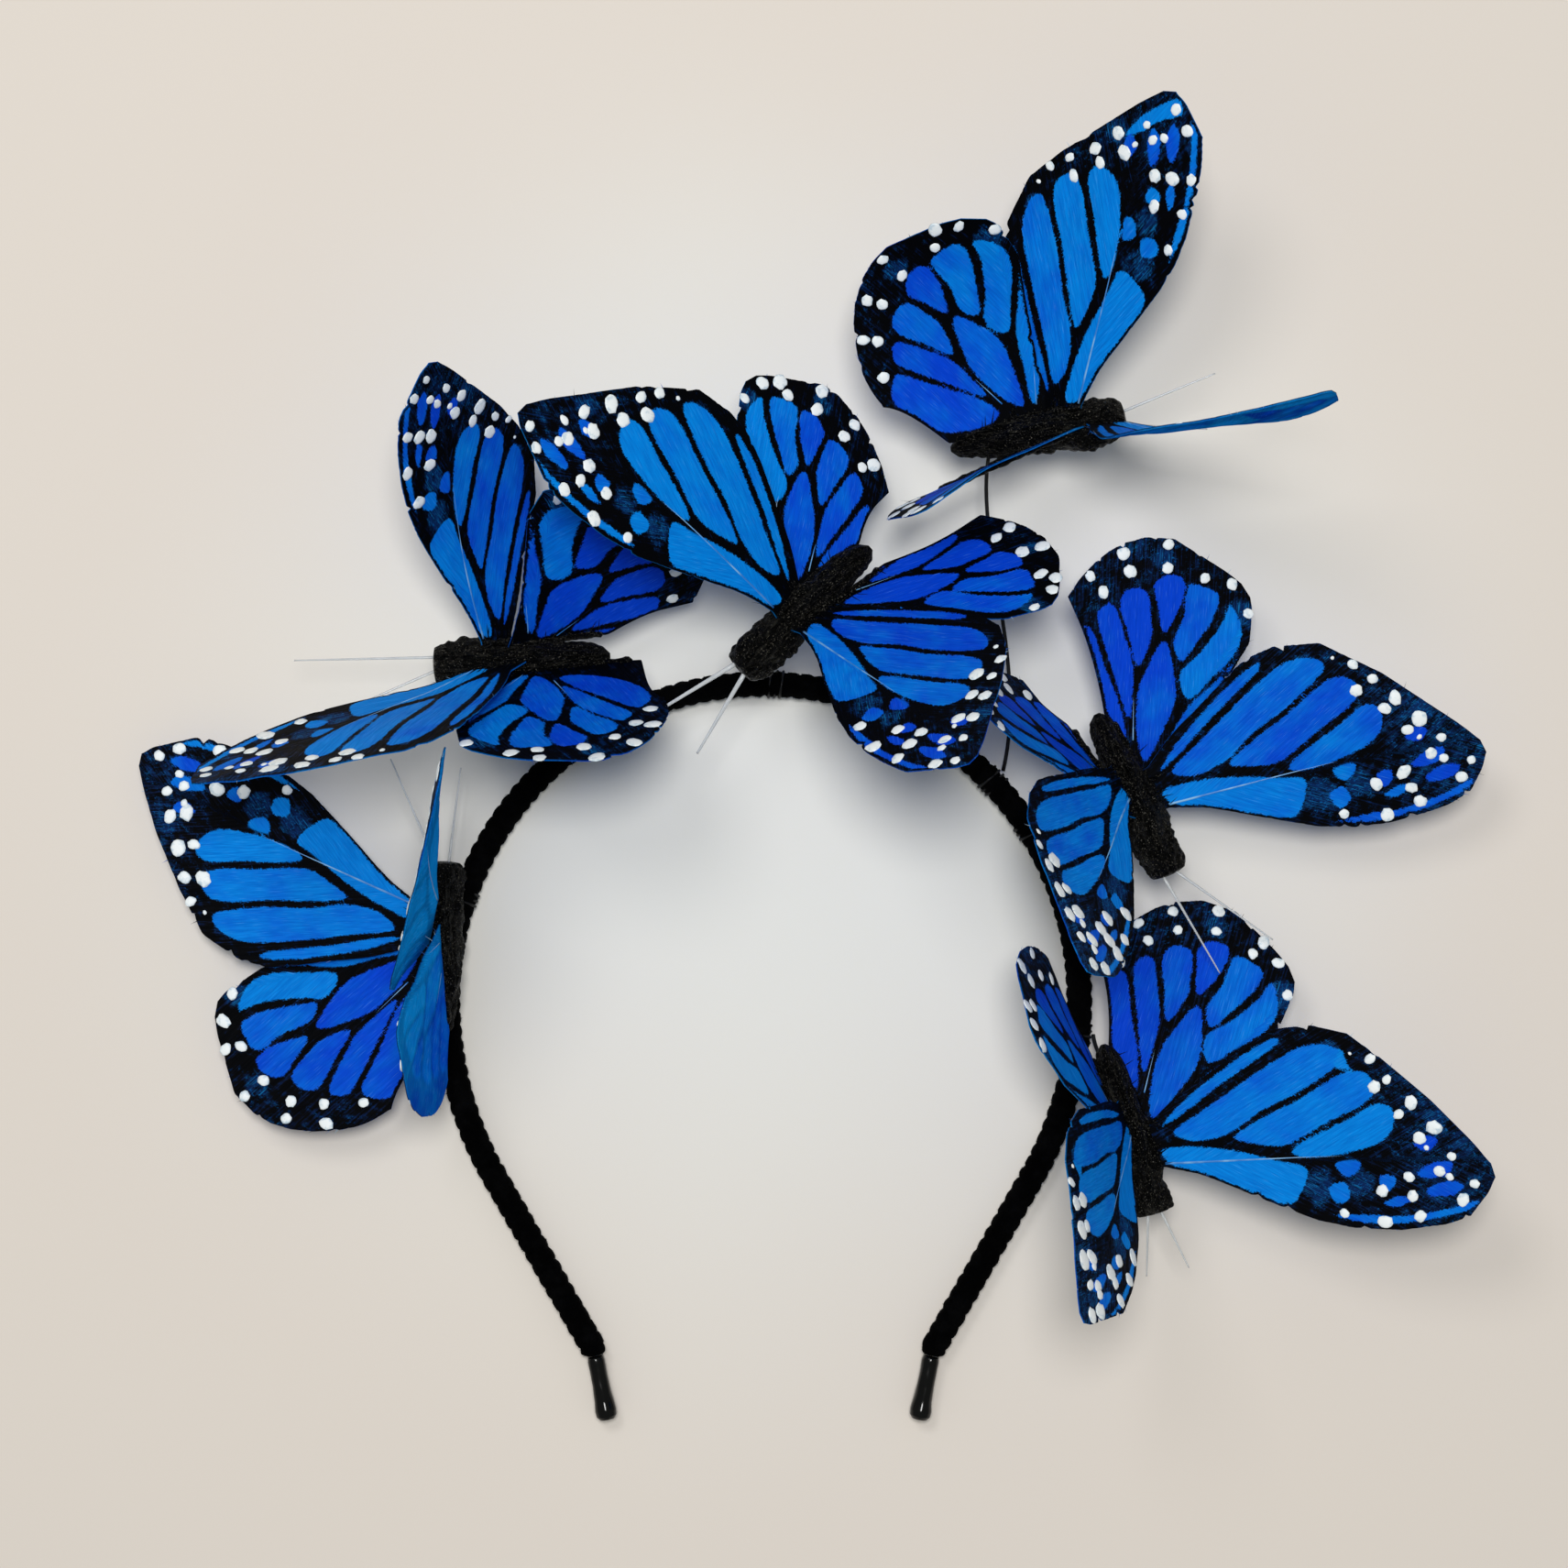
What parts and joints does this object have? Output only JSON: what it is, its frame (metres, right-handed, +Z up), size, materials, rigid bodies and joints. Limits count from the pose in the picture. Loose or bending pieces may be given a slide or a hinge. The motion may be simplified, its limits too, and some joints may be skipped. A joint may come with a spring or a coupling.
{
  "type": "butterfly headband",
  "caption": "Slim wound alice band lying flat, carrying a spray of patterned feather butterflies on short wires round its crown.",
  "frame": {"origin": "middle of the bounding box's footprint, on the surface that the headband lies on", "axes": "+X across the band to the wearer's side on the right of the picture, +Y towards the crown, +Z up from the surface"},
  "size_m": [0.2608, 0.2524, 0.0904],
  "materials": {
    "velvet": "matt black velvet cord wound over a flat spring band",
    "glossy_dip": "glossy black dipped end",
    "body_paint": "rough black brushed paint",
    "feather": "dyed blue feather with black painted veins and white raised dots",
    "bristle": "pale clear bristle",
    "black_wire": "satin black coated wire"
  },
  "bodies": {
    "root": {"band": "velvet", "tip_left": "glossy_dip", "tip_right": "glossy_dip", "butterfly_1_body": "body_paint", "butterfly_1_left_fore": "feather", "butterfly_1_left_hind": "feather", "butterfly_1_right_fore": "feather", "butterfly_1_right_hind": "feather", "butterfly_1_antenna_left": "bristle", "butterfly_1_antenna_right": "bristle", "butterfly_1_stem": "black_wire", "butterfly_2_body": "body_paint", "butterfly_2_left_fore": "feather", "butterfly_2_left_hind": "feather", "butterfly_2_right_fore": "feather", "butterfly_2_right_hind": "feather", "butterfly_2_antenna_left": "bristle", "butterfly_2_antenna_right": "bristle", "butterfly_2_stem": "black_wire", "butterfly_3_body": "body_paint", "butterfly_3_left_fore": "feather", "butterfly_3_left_hind": "feather", "butterfly_3_right_fore": "feather", "butterfly_3_right_hind": "feather", "butterfly_3_antenna_left": "bristle", "butterfly_3_antenna_right": "bristle", "butterfly_3_stem": "black_wire", "butterfly_4_body": "body_paint", "butterfly_4_left_fore": "feather", "butterfly_4_left_hind": "feather", "butterfly_4_right_fore": "feather", "butterfly_4_right_hind": "feather", "butterfly_4_antenna_left": "bristle", "butterfly_4_antenna_right": "bristle", "butterfly_4_stem": "black_wire", "butterfly_5_body": "body_paint", "butterfly_5_left_fore": "feather", "butterfly_5_left_hind": "feather", "butterfly_5_right_fore": "feather", "butterfly_5_right_hind": "feather", "butterfly_5_antenna_left": "bristle", "butterfly_5_antenna_right": "bristle", "butterfly_5_stem": "black_wire", "butterfly_6_body": "body_paint", "butterfly_6_left_fore": "feather", "butterfly_6_left_hind": "feather", "butterfly_6_right_fore": "feather", "butterfly_6_right_hind": "feather", "butterfly_6_antenna_left": "bristle", "butterfly_6_antenna_right": "bristle", "butterfly_6_stem": "black_wire"}
  },
  "joints": []
}
